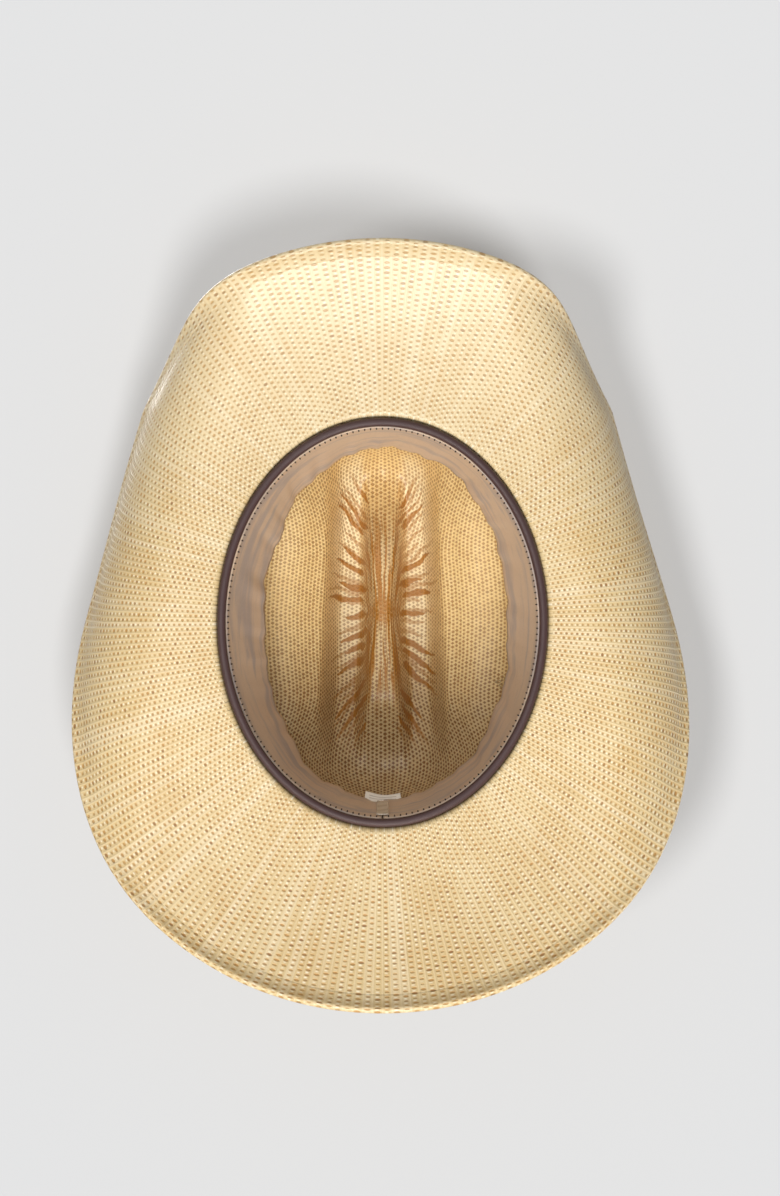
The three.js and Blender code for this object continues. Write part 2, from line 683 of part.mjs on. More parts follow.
piece('buckle_prong', prong(), SILVER_MATERIAL);
piece('billet_keeper', keeper(), SILVER_MATERIAL);
for (const place of RIVETS) piece(place.name, rivet(place), SILVER_MATERIAL);

export default hat;
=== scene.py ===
"""A straw cowboy hat, seen from below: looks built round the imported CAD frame.

Lengths in the shape formulas are millimetres, and meshes are written in metres.
"""

import math

import bmesh
import bpy
import numpy as np
from mathutils import Matrix, Vector


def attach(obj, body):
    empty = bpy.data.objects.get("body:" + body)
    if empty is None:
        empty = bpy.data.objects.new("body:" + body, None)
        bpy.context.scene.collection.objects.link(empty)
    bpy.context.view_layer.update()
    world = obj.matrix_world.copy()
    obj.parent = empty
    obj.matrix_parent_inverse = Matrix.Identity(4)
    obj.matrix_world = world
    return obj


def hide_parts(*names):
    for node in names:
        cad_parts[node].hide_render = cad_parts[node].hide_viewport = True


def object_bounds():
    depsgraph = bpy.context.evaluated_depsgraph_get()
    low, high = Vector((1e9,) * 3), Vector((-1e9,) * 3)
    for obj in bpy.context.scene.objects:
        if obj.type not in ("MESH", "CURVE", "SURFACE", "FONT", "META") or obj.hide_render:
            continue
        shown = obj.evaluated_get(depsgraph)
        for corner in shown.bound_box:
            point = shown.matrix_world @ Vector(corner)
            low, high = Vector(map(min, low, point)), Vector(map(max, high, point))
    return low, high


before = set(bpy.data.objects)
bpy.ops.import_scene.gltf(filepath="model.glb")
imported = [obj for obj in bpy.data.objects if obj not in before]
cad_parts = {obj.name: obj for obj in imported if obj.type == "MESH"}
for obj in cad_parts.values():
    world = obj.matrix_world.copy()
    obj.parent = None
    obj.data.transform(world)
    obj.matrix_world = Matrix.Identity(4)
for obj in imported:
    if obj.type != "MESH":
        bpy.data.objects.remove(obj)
CAD_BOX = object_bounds()

MM = 0.001
TAU = 2 * math.pi

# ---------------------------------------------------------------- dimensions of the hat
OPENING = (85.8, 106.0)  # half width and half length of the head oval
BRIM_WIDTH = 96.5  # from the head oval to the edge, along the straw
FRONT_TRIM = 1.2  # the brim is a little narrower at the front
STRAW = 1.2  # thickness of the woven straw
BREAK_RADIUS = 3.0  # where the brim turns up into the crown

ROLL_RADIUS = 45.0  # the brim sides are rolled up on this radius
ROLL_START = 107.8  # half width where the roll starts, level with the origin
ROLL_SPREAD = 0.25  # the two roll lines close in on each other towards the front
FRONT_ROLL_BOW = 0.0004  # and bow outwards
REAR_ROLL_BOW = 0.0016
ROLL_SKEW = 3.0  # the roll starts this much further out on the wearer's right
FRONT_SKEW = 1.9  # and this much more towards the front
FRONT_SKEW_REACH = 89.0  # where that is all added
CORNER_START = 112.0  # forward of this the roll tightens into the brim's front corners
CORNER_TIGHTENING = 0.27  # roll radius lost for each millimetre further forward
CORNER_SPREAD = 0.055  # and the roll lines turn outwards again
CORNER_BOW = 0.0012
FRONT_DIP_RADIUS = 243.0  # the front and the rear of the brim bend down
REAR_DIP_RADIUS = 252.0
DIP_START = 70.0

CROWN_HEIGHT = 117.0  # of the undented crown, inside
CROWN_FLAT = 113.2  # the ridges are pressed flat at this height, inside
CROWN_TAPER = 0.95  # exponents below 1 make the dome fuller
CROWN_ARCH = 0.002  # the ridges fall away to the front and rear
TOP_LENGTH = 0.72  # length of the crown's top, as a part of the head oval's
CENTRE_DENT = 27.0
SIDE_DENT = 21.0
RIDGE_OFFSET = 18.5  # half the distance between the two ridges
RIDGE_SPREAD = 0.04  # the ridges spread towards the rear

CLEARANCE = 0.3  # between pieces that touch
HEM_BORE = 0.8  # radius of the room round the wire inside the turned edge
HEM = HEM_BORE + STRAW

PIPING_RADIUS = 2.2
PIPING_WALL = 0.75
PIPING_INSET = 2.5
PIPING_HEIGHT = 0.6
LEATHER = 1.0  # thickness of the sweatband
BAND_FOOT = 3.2  # bottom edge of the sweatband
BAND_INSET = 5.2  # from the head oval to the inner face of the leather, at its foot
BAND_TOP = 52.0
SEAM_GAP = 0.012  # radians left open between the ends of the sweatband
STITCH_PITCH = 3.1
STITCH_HEIGHT = 4.3
LOOSE = 0.5  # between soft pieces that only lie on each other
SEAM_TAB = 0.6  # thickness
LABEL = 0.5
LABEL_FOLD = 53.0  # the label leans over the top edge of the leather from here
LABEL_LEAN = 0.45

HATBAND = 2.0  # thickness of the outer band
HATBAND_LOW = 0.016  # angles up the crown profile of its two edges
HATBAND_HIGH = 0.2
HATBAND_FACE = STRAW + CLEARANCE + HATBAND
HATBAND_STITCH_PITCH = 4.2

FINE = 384  # facets round the hat


# ---------------------------------------------------------------- shape formulas
def step(value, low, high):
    t = np.clip((value - low) / (high - low), 0, 1)
    return t * t * (3 - 2 * t)


def points(x, y, z):
    return np.stack(np.broadcast_arrays(x, y, z), axis=-1).astype(float)


def oval(angle):
    return points(OPENING[0] * np.sin(angle), -OPENING[1] * np.cos(angle), 0.0)


def oval_normal(angle):
    n = points(np.sin(angle) / OPENING[0], -np.cos(angle) / OPENING[1], 0.0)
    return n / np.linalg.norm(n, axis=-1, keepdims=True)


def dip(p):
    """Bends the front and the rear of a level surface down."""
    reach = np.maximum(0, np.abs(p[..., 1]) - DIP_START)
    radius = np.where(p[..., 1] < 0, FRONT_DIP_RADIUS, REAR_DIP_RADIUS)
    bend = reach / radius
    flat = np.minimum(np.abs(p[..., 1]), DIP_START)
    y = np.sign(p[..., 1]) * (flat + radius * np.sin(bend))
    return points(p[..., 0], y, p[..., 2] - radius * (1 - np.cos(bend)))


def oval_height(angle):
    return dip(oval(angle))[..., 2]


def brim(angle, out):
    """The underside of the brim, `out` from the head oval along the straw."""
    flat = oval(angle) + oval_normal(angle) * np.asarray(out)[..., None]
    x, y = flat[..., 0], flat[..., 1]
    bow = np.where(y < 0, FRONT_ROLL_BOW, REAR_ROLL_BOW)
    skew = np.where(x < 0, ROLL_SKEW + FRONT_SKEW * step(-y, 0, FRONT_SKEW_REACH), 0.0)
    corner = np.maximum(0, -y - CORNER_START)
    start = ROLL_START + ROLL_SPREAD * y - bow * y * y + skew
    start = start + CORNER_SPREAD * corner + CORNER_BOW * corner * corner
    radius = ROLL_RADIUS - CORNER_TIGHTENING * corner
    bend = np.maximum(0, np.abs(x) - start) / radius
    side = np.minimum(np.abs(x), start) + radius * np.sin(bend)
    return dip(points(np.sign(x) * side, y, radius * (1 - np.cos(bend))))


def brim_width(angle):
    return BRIM_WIDTH - FRONT_TRIM * (1 + np.cos(angle))


def crease_depth(side, y):
    pinch = 2 + 6 * np.minimum(1, np.abs(y + 3) / 65)
    centre = (1 - step(side, pinch, RIDGE_OFFSET - 3)) * (1 - step(np.abs(y), 30, 90))
    flank = step(side, RIDGE_OFFSET + 5, RIDGE_OFFSET + 16)
    panel = 1 - step(side, RIDGE_OFFSET + 24, RIDGE_OFFSET + 58)
    length = 1 - step(np.abs(y + 6), 48, 98)
    return CENTRE_DENT * centre + SIDE_DENT * flank * panel * length


def crown(angle, climb):
    """The inner face of the crown: climb 0 is the head oval, a quarter turn the middle line."""
    foot = oval(angle)
    level = np.maximum(0, np.cos(climb))
    top = np.sin(climb) ** 4
    side = foot[..., 0] * level**CROWN_TAPER
    y = foot[..., 1] * (TOP_LENGTH + (1 - TOP_LENGTH) * level**0.9)
    dome = BREAK_RADIUS + (CROWN_HEIGHT - BREAK_RADIUS) * np.sin(climb) ** 0.95
    pressed = dome - CROWN_ARCH * y * y * top - crease_depth(np.abs(side), y) * step(dome, 33, 98)
    z = np.minimum(CROWN_FLAT, pressed) + oval_height(angle) * level
    spread = 1 + top * (RIDGE_SPREAD / RIDGE_OFFSET) * y
    return points(side * spread, y, z)


def brim_break(angle, turn):
    p = brim(angle, BREAK_RADIUS * (1 - np.sin(turn)))
    return p + points(0, 0, BREAK_RADIUS * (1 - np.cos(turn)))


def lifted(surface, angle, along, lift, towards=1):
    """Moves a surface point along the surface's own normal, out of the hat's hollow."""
    small = 1e-3
    angle, along, lift = np.broadcast_arrays(angle, along, lift)
    around = surface(angle + small, along) - surface(angle - small, along)
    run = surface(angle, along + small) - surface(angle, along - small)
    n = np.cross(around, run) * towards
    n /= np.linalg.norm(n, axis=-1, keepdims=True)
    return surface(angle, along) + n * np.asarray(lift)[..., None]


def on_brim(angle, out, lift):
    return lifted(brim, angle, out, lift, -1)


def on_crown(angle, climb, lift):
    return lifted(crown, angle, climb, lift)


def inside(angle, inset, height):
    """A place inside the opening: `inset` from the head oval, `height` above it."""
    p = dip(oval(angle)) - oval_normal(angle) * np.asarray(inset)[..., None]
    return p + points(0, 0, height)


def band_inset(angle, height):
    lean = 5.95 + 8.85 * np.sin(angle) ** 2 + 1.15 * np.cos(angle) - 2 * np.sin(angle)
    wave = 1.2 * np.sin(7 * angle + 0.6) * np.sin(3 * angle)
    rise = np.maximum(0, (height - BAND_FOOT) / (BAND_TOP - BAND_FOOT))
    return BAND_INSET + (lean + wave) * rise**1.15


def band_top(angle):
    return BAND_TOP + 0.9 * np.sin(5 * angle) + 0.6 * np.sin(11 * angle + 1)


# ---------------------------------------------------------------- mesh builders
def new_object(name, verts, faces, materials=()):
    """A smooth mesh object, from points in millimetres."""
    mesh = bpy.data.meshes.new(name)
    mesh.from_pydata([tuple(v) for v in np.asarray(verts) * MM], [], [tuple(f) for f in faces])
    obj = bpy.data.objects.new(name, mesh)
    bpy.context.scene.collection.objects.link(obj)
    for material in materials:
        mesh.materials.append(material)
    mesh.polygons.foreach_set("use_smooth", [True] * len(mesh.polygons))
    return obj


def face_out(obj):
    """Turns every face of a closed mesh outwards."""
    bm = bmesh.new()
    bm.from_mesh(obj.data)
    bmesh.ops.recalc_face_normals(bm, faces=bm.faces)
    bm.to_mesh(obj.data)
    bm.free()
    return obj


def grid_faces(sections, spans, count, closed_section):
    """Quads between `spans` pairs of neighbouring sections of `count` points each."""
    faces = []
    for i in range(spans):
        a, b = i * count, ((i + 1) % sections) * count
        for k in range(count if closed_section else count - 1):
            up = (k + 1) % count
            faces.append((a + k, b + k, b + up, a + up))
    return faces


def ring(name, section, materials):
    """A closed section carried round the hat: section(angles) gives [angle, point, xyz]."""
    grid = section(np.arange(FINE) / FINE * TAU)
    faces = grid_faces(FINE, FINE, grid.shape[1], True)
    return face_out(new_object(name, grid.reshape(-1, 3), faces, materials))


def strip(name, section, start, end, cuts, materials):
    """A closed section carried along an arc, with both ends closed by a face."""
    grid = section(np.linspace(start, end, cuts + 1))
    count = grid.shape[1]
    faces = grid_faces(cuts + 1, cuts, count, True)
    faces.append(tuple(range(count)))
    faces.append(tuple(cuts * count + k for k in reversed(range(count))))
    return face_out(new_object(name, grid.reshape(-1, 3), faces, materials))


BEAD_ROWS, BEAD_COLUMNS = 6, 8
BEAD_FULLNESS = 0.6  # exponents below 1 give a bead blunter ends


def bead_shape():
    """Points of one bead of unit size, with its long axis first."""
    lat = np.linspace(0, math.pi, BEAD_ROWS + 1)[1:-1]
    lon = np.arange(BEAD_COLUMNS) / BEAD_COLUMNS * TAU
    shape = [(1.0, 0.0, 0.0)]
    for t in lat:
        shape += [(math.cos(t), math.sin(t) * math.cos(p), math.sin(t) * math.sin(p)) for p in lon]
    shape.append((-1.0, 0.0, 0.0))
    shape = np.array(shape)
    shape[:, 0] = np.sign(shape[:, 0]) * np.abs(shape[:, 0]) ** BEAD_FULLNESS
    return shape


def beads(name, centres, axes, sides, radii, materials):
    """Many small rounded pellets in one mesh: the stitches of a row.

    Each has a centre, a long axis, a side axis and (length, width, height) half sizes.
    """
    shape = bead_shape()
    verts, faces = [], []
    for centre, axis, side in zip(centres, axes, sides):
        axis = axis / np.linalg.norm(axis)
        third = np.cross(axis, side)
        third /= np.linalg.norm(third)
        side = np.cross(third, axis)
        base = len(verts)
        local = shape * np.array(radii)
        verts.extend(centre + local[:, :1] * axis + local[:, 1:2] * side + local[:, 2:] * third)
        last = base + len(shape) - 1
        for j in range(BEAD_COLUMNS):
            nxt = (j + 1) % BEAD_COLUMNS
            faces.append((base, base + 1 + j, base + 1 + nxt))
            for r in range(BEAD_ROWS - 2):
                a = base + 1 + r * BEAD_COLUMNS
                faces.append((a + j, a + BEAD_COLUMNS + j, a + BEAD_COLUMNS + nxt, a + nxt))
            a = base + 1 + (BEAD_ROWS - 2) * BEAD_COLUMNS
            faces.append((a + nxt, a + j, last))
    return face_out(new_object(name, verts, faces, materials))


# ---------------------------------------------------------------- node helper
class Nodes:
    """Short names for building a material's node tree."""

    def __init__(self, name):
        self.material = bpy.data.materials.new(name)
        self.material.use_nodes = True
        self.tree = self.material.node_tree
        self.shader = self.tree.nodes["Principled BSDF"]

    def add(self, kind, **settings):
        node = self.tree.nodes.new(kind)
        for key, value in settings.items():
            setattr(node, key, value)
        return node

    def put(self, socket, value):
        if isinstance(value, bpy.types.NodeSocket):
            self.tree.links.new(value, socket)
        else:
            socket.default_value = value

    def math(self, operation, a, b=0.0, c=0.0, clamp=False):
        node = self.add("ShaderNodeMath", operation=operation, use_clamp=clamp)
        for socket, value in zip(node.inputs, (a, b, c)):
            self.put(socket, value)
        return node.outputs[0]

    def times(self, value, *others):
        for other in others:
            value = self.math("MULTIPLY", value, other)
        return value

    def minus(self, a, b):
        return self.math("SUBTRACT", a, b)

    def size(self, value):
        return self.math("ABSOLUTE", value)

    def length(self, a, b):
        return self.math("SQRT", self.math("ADD", self.times(a, a), self.times(b, b)))

    def smooth(self, value, low, high, to_low=0.0, to_high=1.0):
        node = self.add("ShaderNodeMapRange", interpolation_type="SMOOTHSTEP")
        for socket, v in zip(node.inputs, (value, low, high, to_low, to_high)):
            self.put(socket, v)
        return node.outputs[0]

    def attribute(self, name):
        return self.add("ShaderNodeAttribute", attribute_name=name).outputs["Vector"]

    def place(self):
        return self.add("ShaderNodeTexCoord").outputs["Object"]

    def split(self, vector):
        node = self.add("ShaderNodeSeparateXYZ")
        self.put(node.inputs[0], vector)
        return node.outputs[0], node.outputs[1], node.outputs[2]

    def join(self, x, y, z=0.0):
        node = self.add("ShaderNodeCombineXYZ")
        for socket, value in zip(node.inputs, (x, y, z)):
            self.put(socket, value)
        return node.outputs[0]

    def noise(self, vector, scale, detail=2.0, rough=0.5, warp=0.0):
        node = self.add("ShaderNodeTexNoise")
        self.put(node.inputs["Vector"], vector)
        self.put(node.inputs["Scale"], scale)
        self.put(node.inputs["Detail"], detail)
        self.put(node.inputs["Roughness"], rough)
        self.put(node.inputs["Distortion"], warp)
        return node.outputs["Fac"]

    def white(self, vector):
        node = self.add("ShaderNodeTexWhiteNoise", noise_dimensions="3D")
        self.put(node.inputs["Vector"], vector)
        return node.outputs["Value"]

    def mix(self, factor, a, b, blend="MIX"):
        node = self.add("ShaderNodeMix", data_type="RGBA", blend_type=blend)
        self.put(node.inputs["Factor"], factor)
        self.put(node.inputs["A"], a)
        self.put(node.inputs["B"], b)
        return node.outputs["Result"]

    def bump(self, height, distance, strength):
        node = self.add("ShaderNodeBump")
        self.put(node.inputs["Height"], height)
        node.inputs["Distance"].default_value = distance
        node.inputs["Strength"].default_value = strength
        return node.outputs["Normal"]

    def finish(self, color, roughness, normal=None, **sockets):
        self.put(self.shader.inputs["Base Color"], color)
        self.put(self.shader.inputs["Roughness"], roughness)
        if normal is not None:
            self.put(self.shader.inputs["Normal"], normal)
        for name, value in sockets.items():
            self.shader.inputs[name.replace("_", " ")].default_value = value
        return self.material


def srgb(r, g, b):
    """A colour given in screen values from 0 to 255."""
    linear = [((c / 255 + 0.055) / 1.055) ** 2.4 if c > 10 else c / 255 / 12.92 for c in (r, g, b)]
    return (*linear, 1.0)


# ---------------------------------------------------------------- materials
CREAM = srgb(220, 196, 146)
CREAM_WARM = srgb(212, 183, 128)
PALE = srgb(236, 221, 188)
GOLDEN = srgb(206, 166, 108)
PAINTED_GLINT = srgb(252, 242, 216)
# the pits' colours: partly amber lacquer pooled in them, partly painted shade in the hollows
PIT = srgb(188, 138, 72)
PIT_DARK = srgb(152, 104, 54)
# colours inside the crown, most of them painted light and painted shade: lit ridges, a warm lit front and
# a shaded rear
RIDGE_PAINTED_LIGHT = srgb(255, 244, 214)
HOLLOW_PALE = srgb(255, 240, 196)
HOLLOW_PIT = srgb(140, 96, 44)
HOLLOW_PAINTED_LIGHT = srgb(255, 226, 164)
HOLLOW_PAINTED_SHADE = srgb(146, 104, 58)
AMBER = srgb(168, 106, 8)
EYELET_CORD = srgb(112, 74, 38)
# the eyelets' holes: painted shade seen from outside, painted light seen from inside
EYELET_HOLE_SHADE = srgb(52, 34, 20)
EYELET_LIT = srgb(236, 214, 168)
WHITE = (1, 1, 1, 1)

CELL_DRIFT = 0.44  # how far the weave's columns wander, as a part of their width
VENT_PITCH = 0.0034
VENT_MIDDLE = (0.033, 0.062)  # towards the rear, and up
VENT_REACH = 3.5  # half the number of eyelets along the diamond's side
VENT_SIDE = 0.045  # the vents are further out than this from the middle line
BUTTON_Y = -0.006  # the streaks of lacquer run out from this place on the middle line
THREAD_PITCH = 0.0005
LABEL_LINES = (0.0542, 0.0009)  # height of the middle of the two lines, and of each from it
LABEL_LINE_END = 0.007


def weave_cells(n):
    """Staggered cells of the weave, from the mesh's column and row numbers.

    Gives the distances from the cell's middle, two random numbers for each cell, and its column.
    """
    column, row, _ = n.split(n.attribute("weave"))
    drift = n.noise(n.join(n.times(column, 0.37), 0.0), 1.0, 1.0)
    column = n.math("ADD", column, n.times(n.minus(drift, 0.5), CELL_DRIFT))
    whole = n.math("FLOOR", column)
    odd = n.times(n.math("MODULO", n.size(whole), 2.0), 0.5)
    slip = n.white(n.join(whole, 3.0, 1.0))
    row = n.math("ADD", n.math("ADD", row, odd), n.times(slip, 0.16))
    low = n.math("FLOOR", row)
    across = n.minus(n.minus(column, whole), 0.5)
    along = n.minus(n.minus(row, low), 0.5)
    return across, along, n.white(n.join(whole, low)), n.white(n.join(low, whole, 5.0)), whole


def weave_pit(n, across, along, cell, size, rounded):
    """The small hollow in the middle of each cell, round or diamond-shaped."""
    jitter = n.math("MULTIPLY_ADD", cell, 0.4, 0.8)
    dx = n.math("DIVIDE", across, n.times(jitter, size[0]))
    dy = n.math("DIVIDE", along, n.times(jitter, size[1]))
    far = n.length(dx, dy) if rounded else n.math("ADD", n.size(dx), n.size(dy))
    return n.smooth(far, 0.65, 1.25, 1.0, 0.0)


def straw_tones(n, place, fine, rib, whole):
    """Patches, single columns and fine flecks of lighter and darker straw, and ribs painted paler."""
    patch = n.noise(place, 38.0, 3.0, 0.6)
    straw = n.mix(n.smooth(patch, 0.35, 0.7), CREAM, CREAM_WARM)
    column_tint = n.smooth(n.white(n.join(whole, 0.0, 9.0)), 0.6, 1.0, 0.0, 0.34)
    straw = n.mix(column_tint, straw, PALE)
    straw = n.mix(n.times(fine, 0.22), straw, GOLDEN)
    # the ribs between the columns are painted paler: partly paler straw, partly a painted highlight on
    # them
    return n.mix(n.times(rib, 0.22), straw, PALE)


def painted_straw_glint(n, across, along, other):
    """A painted highlight on the bright spot where a straw passes over its neighbour."""
    over = n.math("DIVIDE", n.minus(n.size(along), 0.48), 0.2)
    beside = n.math("DIVIDE", n.minus(across, 0.08), 0.26)
    glint = n.smooth(n.length(over, beside), 0.3, 1.1, 1.0, 0.0)
    return n.times(glint, n.smooth(other, 0.2, 0.9, 0.15, 0.8))


def painted_hollow_light(n, color, pit, x, y, z):
    """Painted light and shade inside the crown: painted light on the ridges beside the crease and a warm
    painted light at the front, painted shade in the crease and a browner painted shade towards the rear.
    """
    side = n.size(x)
    # painted light on the ridges beside the crease, fading out towards the rear
    ridge_light = n.times(n.smooth(side, 0.009, 0.014), n.smooth(side, 0.022, 0.03, 1.0, 0.0))
    ridge_light = n.times(ridge_light, n.smooth(z, 0.08, 0.1), n.smooth(y, 0.0, 0.055, 1.0, 0.0))
    color = n.mix(n.times(ridge_light, 0.45), color, RIDGE_PAINTED_LIGHT)
    color = n.mix(0.42, color, HOLLOW_PALE)
    # painted shade: the pits are painted darker towards the rear
    color = n.mix(n.times(pit, n.smooth(y, -0.02, 0.07, 0.5, 0.85)), color, HOLLOW_PIT)
    # painted shade along the crease and growing towards the rear, warm painted light towards the front
    crease = n.times(n.smooth(side, 0.007, 0.012, 0.5, 0.0), n.smooth(y, -0.075, -0.045))
    painted_shade = n.math("MAXIMUM", crease, n.smooth(y, 0.0, 0.085, 0.0, 0.8))
    light_and_shade = n.mix(painted_shade, HOLLOW_PAINTED_LIGHT, HOLLOW_PAINTED_SHADE)
    share = n.minus(1.0, n.times(ridge_light, 0.6))
    return n.mix(share, color, n.mix(0.55, color, light_and_shade, "MULTIPLY"))


def straw_material(name, pit_size, zone):
    """Lacquered weave: light straws with small darker pits between them."""
    n = Nodes(name)
    across, along, cell, other, whole = weave_cells(n)
    place = n.place()
    x, y, z = n.split(place)
    fine = n.noise(place, 900.0, 2.0, 0.6)
    rib = n.smooth(n.size(across), 0.3, 0.5)
    pit = weave_pit(n, across, along, cell, pit_size, zone == "brim")
    straw = straw_tones(n, place, fine, rib, whole)
    # painted highlight: a glint painted beside each pit
    straw = n.mix(painted_straw_glint(n, across, along, other), straw, PAINTED_GLINT)
    strength = n.times(pit, n.math("MULTIPLY_ADD", cell, 0.35, 0.6))
    if zone == "brim":
        # painted sheen: the front of the brim is painted paler and its pits fainter, where light glances
        # off it
        front = n.smooth(y, -0.13, -0.03, 0.3, 0.0)
        straw = n.mix(front, straw, PALE)
        row = n.split(n.attribute("weave"))[1]
        strength = n.times(strength, n.minus(1.0, n.times(front, 0.7)), n.smooth(row, 0.9, 1.2))
    # the pits are painted darker: partly lacquer pooled in them, partly painted shade in the hollows
    color = n.mix(strength, straw, n.mix(n.smooth(other, 0.5, 1.0), PIT, PIT_DARK))
    height = n.minus(n.times(rib, 0.3), n.times(pit, 0.75))
    height = n.math("ADD", height, n.times(fine, 0.18))
    if zone != "brim":
        cord, hole = vent_eyelets(n, x, y, z)
        color = n.mix(cord, color, EYELET_CORD)
        # the holes are painted: dark with painted shade from outside, bright with painted light coming
        # through them from inside
        color = n.mix(hole, color, EYELET_HOLE_SHADE if zone == "crown_out" else EYELET_LIT)
        height = n.math("ADD", height, n.minus(n.times(cord, 1.2), n.times(hole, 1.5)))
    if zone == "crown_in":
        color = painted_hollow_light(n, color, pit, x, y, z)
        streak = lacquer_streaks(n, place)
        color = n.mix(n.times(streak, 0.9), color, AMBER)
        height = n.math("ADD", height, n.times(streak, 0.5))
    rough = n.math("MULTIPLY_ADD", fine, 0.2, 0.36)
    normal = n.bump(height, 0.0005, 0.8)
    return n.finish(color, rough, normal, Coat_Weight=0.25, Coat_Roughness=0.25, Specular_IOR_Level=0.5)


def vent_eyelets(n, x, y, z):
    """A diamond of small corded eyelets on each side of the crown: their cords and their holes."""
    back = n.math("DIVIDE", n.minus(y, VENT_MIDDLE[0]), VENT_PITCH)
    up = n.math("DIVIDE", n.minus(z, VENT_MIDDLE[1]), VENT_PITCH)
    shown = n.math("GREATER_THAN", n.size(x), VENT_SIDE)
    near = []
    for diagonal in (n.math("ADD", back, up), n.minus(back, up)):
        shown = n.times(shown, n.math("LESS_THAN", n.size(diagonal), VENT_REACH))
        near.append(n.minus(diagonal, n.math("ROUND", diagonal)))
    far = n.length(*near)
    cord = n.times(n.smooth(far, 0.38, 0.44, 1.0, 0.0), n.smooth(far, 0.2, 0.26))
    hole = n.smooth(far, 0.2, 0.26, 1.0, 0.0)
    return n.times(cord, shown), n.times(hole, shown)


def barbs(n, side, out, run, spacing, seed):
    """Feather barbs that leave the middle line and sweep away from the button, in millimetres."""
    sweep = n.math("MULTIPLY_ADD", n.minus(out, 9.0), 0.03, 1.0)
    index = n.math("DIVIDE", n.math("DIVIDE", run, sweep), spacing)
    index = n.math("ADD", index, n.times(side, 0.37))
    number = n.math("FLOOR", index)
    first = n.white(n.join(number, side, seed))
    second = n.white(n.join(number, side, seed + 1.0))
    offset = n.minus(n.minus(index, number), 0.5)
    offset = n.math("ADD", offset, n.times(n.minus(first, 0.5), 0.4))
    root = n.math("MULTIPLY_ADD", first, 4.0, 7.0)
    length = n.math("MULTIPLY_ADD", second, 12.0, 9.0)
    part = n.math("DIVIDE", n.minus(out, root), length, clamp=True)
    taper = n.times(n.math("POWER", n.minus(1.0, part), 0.6), n.smooth(part, 0.0, 0.15))
    width = n.times(taper, 0.36)
    edge = n.math("MULTIPLY_ADD", width, 1.1, 0.01)
    barb = n.smooth(n.size(offset), n.times(width, 0.6), edge, 1.0, 0.0)
    return n.times(barb, n.smooth(taper, 0.02, 0.12), n.smooth(second, 0.08, 0.3))


def lacquer_streaks(n, place):
    """Feathered streaks of amber lacquer that run out from the button in the crease."""
    x, y, z = n.split(place)
    wander = n.minus(n.noise(place, 70.0, 2.0), 0.5)
    out = n.size(n.times(x, 1000.0))
    run = n.times(n.minus(y, BUTTON_Y), 1000.0)
    bent = n.math("MULTIPLY_ADD", wander, 9.0, run)
    side = n.math("GREATER_THAN", x, 0.0)
    small = n.times(barbs(n, side, out, bent, 4.9, 11.0), 0.6)
    feather = n.math("MAXIMUM", barbs(n, side, out, bent, 7.2, 3.0), small)
    length = n.size(run)
    fan = n.math("DIVIDE", n.times(x, 620.0), n.math("MULTIPLY_ADD", length, 0.016, 0.6))
    fan = n.math("MULTIPLY_ADD", wander, 1.8, fan)
    line = n.noise(n.join(fan, n.times(y, 17.0), 3.0), 1.0, 2.0, 0.5)
    middle = n.times(n.smooth(line, 0.47, 0.54), n.smooth(out, 8.0, 13.0, 1.0, 0.0))
    end = n.smooth(n.math("MULTIPLY_ADD", line, 70.0, length), 70.0, 104.0, 1.0, 0.0)
    both = n.math("MAXIMUM", feather, n.times(middle, end))
    both = n.times(both, n.smooth(length, 62.0, 80.0, 1.0, 0.0))
    far = n.math("MULTIPLY_ADD", wander, 8.0, n.length(out, run))
    mottled = n.smooth(n.noise(place, 520.0, 2.0), 0.4, 0.6, 0.55, 1.0)
    knot = n.times(n.smooth(far, 5.0, 9.0, 1.0, 0.0), mottled)
    return n.times(n.math("MAXIMUM", both, knot), n.smooth(z, 0.055, 0.07))


def shade(color, times):
    """A colour made darker or lighter."""
    return (*[min(1, c * times) for c in color[:3]], 1.0)


def leather_material(name, base, streak_color, grain, sheen_rough, streaks):
    """Grained leather with level streaks of a second colour."""
    n = Nodes(name)
    place = n.place()
    x, y, z = n.split(place)
    flow = n.join(n.times(x, 22.0), n.times(y, 22.0), n.times(z, 130.0))
    bands = n.noise(flow, 1.0, 3.0, 0.55, 0.6)
    soft = n.noise(place, 30.0, 2.0)
    pores = n.noise(place, grain, 3.0, 0.7)
    color = n.mix(n.times(n.smooth(bands, 0.42, 0.66), streaks), base, streak_color)
    color = n.mix(n.times(soft, 0.3), color, shade(base, 0.7))
    color = n.mix(n.smooth(pores, 0.55, 0.8, 0.0, 0.25), color, shade(base, 0.45))
    height = n.math("ADD", n.times(pores, 0.4), n.times(bands, 0.9))
    rough = n.math("MULTIPLY_ADD", pores, 0.2, sheen_rough)
    return n.finish(color, rough, n.bump(height, 0.0005, 0.5), Specular_IOR_Level=0.5)


def cloth_material(name, base, pitch, rough):
    """A fine plain weave."""
    n = Nodes(name)
    x, y, z = n.split(n.place())
    scale = TAU / pitch
    warp = n.math("SINE", n.times(n.math("ADD", x, y), scale))
    weft = n.math("SINE", n.times(n.minus(z, n.times(x, 0.3)), scale))
    threads = n.times(warp, weft)
    soft = n.noise(n.place(), 160.0, 3.0, 0.6)
    color = n.mix(n.math("MULTIPLY_ADD", threads, 0.2, 0.3), base, shade(base, 0.55))
    color = n.mix(n.times(soft, 0.3), color, shade(base, 1.5))
    height = n.math("MULTIPLY_ADD", threads, 0.5, n.times(soft, 0.6))
    return n.finish(color, rough, n.bump(height, 0.0002, 0.5))


